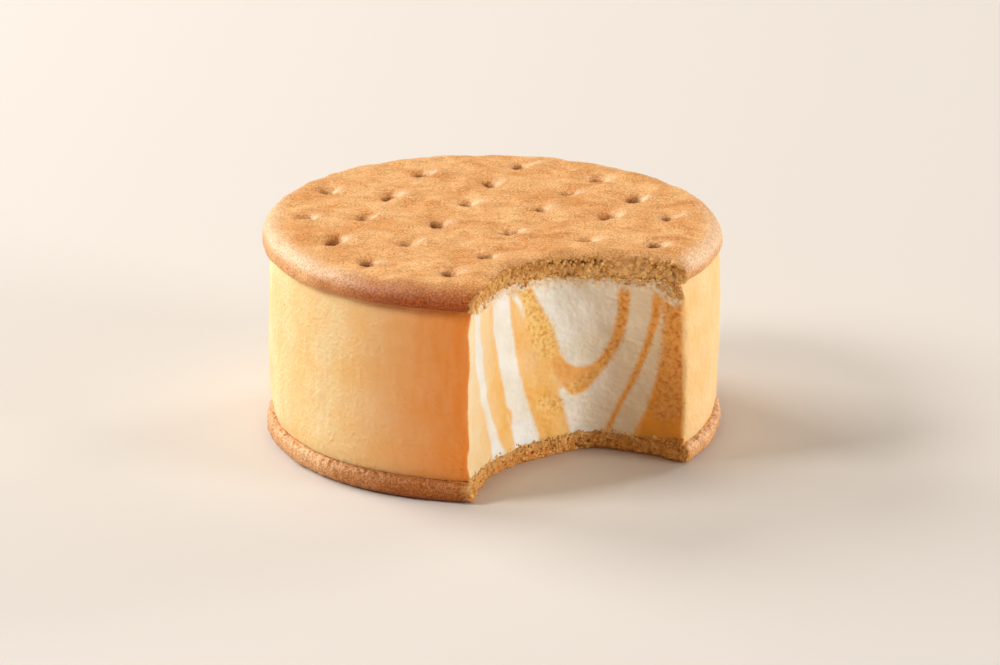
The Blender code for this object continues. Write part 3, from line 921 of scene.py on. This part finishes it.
def softIceCream(look):
    # Whipped and frozen: it scatters light under its surface, so that shade is
    # never quite dark, and its skin has a soft frosty shine.
    material, tree = newMaterial("frozenIceCream")
    place = addNode(tree, "TexCoord", {}, "Object")
    upright = addNode(tree, "Mapping", {"Vector": place, "Scale": (1.0, 1.0, 0.25)}, "Vector")
    noises = {}
    for name, vector, size, low, high in (  # mm, and the range that is drawn out to 0 and 1
            ("mottle", place, 6.0, 0.35, 0.65), ("streak", upright, 1.6, 0.4, 0.72),
            ("softEdge", place, 2.6, 0.0, 1.0), ("pulp", place, 0.7, 0.45, 0.7),
            ("fine", place, 0.6, 0.0, 1.0), ("pebble", place, 1.0, 0.3, 0.7)):
        value = addNode(tree, "TexNoise", {"Vector": vector, "Scale": perMm(size), "Detail": 4.0}, "Fac")
        noises[name] = addNode(
            tree, "MapRange", {"Value": value, "From Min": low, "From Max": high}, "Result")

    wall = addNode(
        tree, "Mix", {"Factor": noises["mottle"], 6: colour(look["wall"]), 7: colour(look["wallPale"])}, 2,
        data_type="RGBA")
    # painted shade, deeper orange towards the front of the wall
    deep = addNode(tree, "Attribute", {}, "Fac", attribute_name="deep")
    streaky = addNode(tree, "Math", {0: noises["streak"], 1: 0.12}, 0, operation="MULTIPLY")
    speck = addNode(tree, "TexVoronoi", {"Vector": place, "Scale": perMm(6.0)}, "Distance")
    speck = addNode(
        tree, "MapRange", {"Value": speck, "From Min": 0.05, "From Max": 0.03, "To Max": 0.6}, "Result")
    for share, tone in ((deep, "wallDeep"), (streaky, "wallPale"), (speck, "grain")):
        wall = addNode(tree, "Mix", {"Factor": share, 6: wall, 7: colour(look[tone])}, 2, data_type="RGBA")

    # The swirl: how far inside each line, in mm, with an uneven edge.
    shares = {}
    for name, noiseName, uneven, blur in (
            ("peachLines", "softEdge", 1.0, 0.6), ("creamLines", "softEdge", 0.6, 0.5),
            ("pureeLines", "fine", 1.0, 0.6), ("fleckLines", "fine", 2.2, 0.8),
            ("stained", "fine", 1.5, 0.9)):
        inside = addNode(tree, "Attribute", {}, "Fac", attribute_name=name)
        edge = addNode(
            tree, "Math", {0: noises[noiseName], 1: uneven, 2: -0.5 * uneven}, 0, operation="MULTIPLY_ADD")
        inside = addNode(tree, "Math", {0: inside, 1: edge}, 0, operation="ADD")
        shares[name] = addNode(
            tree, "MapRange", {"Value": inside, "From Min": -blur, "From Max": blur}, "Result",
            interpolation_type="SMOOTHSTEP")
    # Painted shade on the bitten face, growing towards its right
    warm = addNode(tree, "Attribute", {}, "Fac", attribute_name="warm")
    warm = addNode(tree, "Math", {0: warm, 1: 0.8}, 0, operation="MULTIPLY")
    flecks, bits = [
        addNode(
            tree, "Mix", {"Factor": warm, 6: colour(look[cool]), 7: colour(look[warmed])}, 2,
            data_type="RGBA")
        for cool, warmed in (("flecksPale", "flecksWarm"), ("flecks", "flecksDark"))]
    flecks = addNode(tree, "Mix", {"Factor": noises["pulp"], 6: flecks, 7: bits}, 2, data_type="RGBA")
    flecked = addNode(tree, "Math", {0: shares["fleckLines"], 1: look["fleckShare"]}, 0, operation="MULTIPLY")

    # the yellow is paler towards the left end of the bite, and at random
    milky = addNode(tree, "Attribute", {}, "Fac", attribute_name="milky")
    milky = addNode(tree, "Math", {0: milky, 1: 0.6}, 0, operation="MULTIPLY")
    milky = addNode(tree, "Math", {0: noises["mottle"], 1: 0.35, 2: milky}, 0, operation="MULTIPLY_ADD")
    tones = {}
    for name, paler, dull, bright, warmed in (
            ("yellow", milky, "yellow", "yellowPale", "yellowWarm"),
            ("cream", noises["mottle"], "creamDull", "cream", "creamWarm")):
        tone = addNode(
            tree, "Mix", {"Factor": paler, 6: colour(look[dull]), 7: colour(look[bright])}, 2,
            data_type="RGBA")
        tones[name] = addNode(
            tree, "Mix", {"Factor": warm, 6: tone, 7: colour(look[warmed])}, 2, data_type="RGBA")
    stain = addNode(
        tree, "Mix", {"Factor": noises["pulp"], 6: colour(look["stain"]), 7: colour(look["stainDark"])}, 2,
        data_type="RGBA")
    face = tones["yellow"]
    for share, tone in (
            (shares["peachLines"], colour(look["peach"])), (shares["creamLines"], tones["cream"]),
            (shares["pureeLines"], colour(look["puree"])), (flecked, flecks), (shares["stained"], stain)):
        face = addNode(tree, "Mix", {"Factor": share, 6: face, 7: tone}, 2, data_type="RGBA")

    bitten = addNode(tree, "Attribute", {}, "Fac", attribute_name="bitten")
    surface = addNode(tree, "Mix", {"Factor": bitten, 6: wall, 7: face}, 2, data_type="RGBA")
    low, high = look["roughness"]
    rough = addNode(tree, "MapRange", {"Value": noises["fine"], "To Min": low, "To Max": high}, "Result")
    height = addNode(
        tree, "Math", {0: noises["pebble"], 1: 0.7, 2: noises["fine"]}, 0, operation="MULTIPLY_ADD")
    pebbly = addNode(tree, "Math", {0: bitten, 1: -0.5, 2: 1.0}, 0, operation="MULTIPLY_ADD")
    deep = look["bump"] * metresPerMm
    bump = addNode(tree, "Bump", {"Height": height, "Strength": pebbly, "Distance": deep}, "Normal")
    shader = addNode(
        tree, "BsdfPrincipled",
        {"Base Color": surface, "Roughness": rough, "Normal": bump, "IOR": 1.35,
         "Subsurface Weight": 0.45, "Subsurface Radius": (1.0, 0.6, 0.3), "Subsurface Scale": 0.0022}, "BSDF")
    addNode(tree, "OutputMaterial", {"Surface": shader})
    return material


# Loose grains of crumb that cling to the torn faces

grains = {
    "lid": 520,
    "base": 380,
    "smear": 480,  # dragged over the upper and lower edges of the ice cream
    "smallest": 0.16,  # mm, radius
    "largest": 0.42,
}


def crumbGrains(look):
    # Broken dough: dull golden bits, some paler and some darker.
    material, tree = newMaterial("crumbGrain")
    place = addNode(tree, "TexCoord", {}, "Object")
    tone = addNode(tree, "TexNoise", {"Vector": place, "Scale": perMm(1.3), "Detail": 2.0}, "Fac")
    tone = addNode(tree, "MapRange", {"Value": tone, "From Min": 0.35, "From Max": 0.65}, "Result")
    surface = addNode(
        tree, "Mix", {"Factor": tone, 6: colour(look["crumbPale"]), 7: colour(look["crumb"])}, 2,
        data_type="RGBA")
    shader = addNode(tree, "BsdfPrincipled", {"Base Color": surface, "Roughness": 0.8, "IOR": 1.45}, "BSDF")
    addNode(tree, "OutputMaterial", {"Surface": shader})
    return material


def scatterGrains(name, places, count, seed):
    draw = random.Random(seed)
    shape = bmesh.new()
    for place in draw.sample(places.tolist(), count):
        size = grains["smallest"] + (grains["largest"] - grains["smallest"]) * draw.random() ** 2
        turn = Euler([draw.uniform(0.0, math.pi) for _ in range(3)]).to_matrix().to_4x4()
        form = Matrix.Diagonal((draw.uniform(0.7, 1.3), draw.uniform(0.7, 1.3), draw.uniform(0.6, 1.0), 1.0))
        bmesh.ops.create_icosphere(
            shape, subdivisions=1, radius=size, matrix=Matrix.Translation(place) @ turn @ form)
    item = objectFrom(shape, name)
    item.data.shade_smooth()
    return item


# Building the sandwich

crust = bakedBiscuit(lidCrust)
print("lid")
lidPiece, lidTorn = makeLid()
lidPlaces = readPoints(lidPiece)[lidTorn > 0.9]
finishPiece(lidPiece, crust, "top_biscuit")
print("base")
basePiece, baseTorn = makeBase()
basePlaces = readPoints(basePiece)[baseTorn > 0.9]
finishPiece(basePiece, bakedBiscuit(baseCrust), "bottom_biscuit")
print("ice cream")
creamPiece, smeared = makeIceCream()
smearPlaces = readPoints(creamPiece)[smeared > 0.6]
finishPiece(creamPiece, softIceCream(iceCreamLook), "ice_cream")
print("crumb grains")
grainMaterial = crumbGrains(lidCrust)
lidGrains = scatterGrains("lidCrumbGrains", lidPlaces, grains["lid"], 3)
finishPiece(lidGrains, grainMaterial)
basePlaces = basePlaces[basePlaces[:, 2] > 2.0 * grains["largest"]]
baseGrains = scatterGrains("baseCrumbGrains", basePlaces, grains["base"], 4)
finishPiece(baseGrains, grainMaterial)
smearGrains = scatterGrains("smearedCrumbGrains", smearPlaces, grains["smear"], 5)
finishPiece(smearGrains, grainMaterial)


# Studio: a pale floor, soft lights to the left, the right and behind, and a weak one above

studio = {
    "floorColour": "#DDD5CB",
    "floorHalf": 6.0,  # metres
    "skyColour": "#FFF0E0",
    "skyStrength": 0.24,
    # name, place, width and height in metres, watts
    "lights": (
        ("leftLight", (-1.02, -0.22, 0.84), (0.45, 0.45), 10.0),
        ("backLeftLight", (-0.88, 0.67, 0.64), (0.6, 0.6), 12.0),
        ("rightLight", (1.27, -0.58, 0.32), (0.5, 0.4), 12.0),
        ("backRightLight", (1.05, 0.85, 0.45), (0.45, 0.45), 7.0),
        ("topLight", (-0.10, 0.35, 1.50), (1.2, 1.2), 1.5),
    ),
    "aim": (0.0, 0.0, 0.02),
}

shape = bmesh.new()
bmesh.ops.create_grid(shape, x_segments=1, y_segments=1, size=studio["floorHalf"])
floor = objectFrom(shape, "floor")
floor.location.z = -0.00002
floorMaterial, tree = newMaterial("paintedFloor")
floorShader = addNode(
    tree, "BsdfPrincipled", {"Base Color": colour(studio["floorColour"]), "Roughness": 0.85}, "BSDF")
addNode(tree, "OutputMaterial", {"Surface": floorShader})
floor.data.materials.append(floorMaterial)

for name, place, size, watts in studio["lights"]:
    lamp = bpy.data.lights.new(name, "AREA")
    lamp.shape = "RECTANGLE"
    lamp.size, lamp.size_y = size
    lamp.energy = watts
    light = bpy.data.objects.new(name, lamp)
    light.location = place
    light.rotation_euler = (Vector(studio["aim"]) - Vector(place)).to_track_quat("-Z", "Y").to_euler()
    scene.collection.objects.link(light)

world = bpy.data.worlds.new("softSky")
scene.world = world
world.use_nodes = True
sky = world.node_tree.nodes["Background"]
sky.inputs["Color"].default_value = colour(studio["skyColour"])
sky.inputs["Strength"].default_value = studio["skyStrength"]
scene.view_settings.view_transform = "Standard"

# Camera: matched to the photograph's view from 19 degrees above

view = {
    "above": 19.35,  # degrees
    "roll": -0.34,  # degrees
    "distance": 900.0,  # mm
    "lookAt": (0.0, 0.0, 19.0),
    "sideways": 1.22,  # mm, to frame the sandwich as in the photograph
    "upwards": -1.85,
    "lens": 185.33,
}

above = math.radians(view["above"])
roll = math.radians(view["roll"])
back = Vector((0.0, -math.cos(above), math.sin(above)))
levelUp = Vector((0.0, math.sin(above), math.cos(above)))
right = Vector((math.cos(roll), 0.0, 0.0)) + math.sin(roll) * levelUp
up = math.cos(roll) * levelUp - Vector((math.sin(roll), 0.0, 0.0))
cameraPlace = Vector(view["lookAt"]) + back * view["distance"]
cameraPlace += right * view["sideways"] + up * view["upwards"]
cameraData = bpy.data.cameras.new("camera")
cameraData.lens = view["lens"]
cameraData.clip_start = 0.05
camera = bpy.data.objects.new("camera", cameraData)
turn = Matrix((right, up, back)).transposed().to_4x4()
camera.matrix_world = Matrix.Translation(cameraPlace * metresPerMm) @ turn
scene.collection.objects.link(camera)
scene.camera = camera
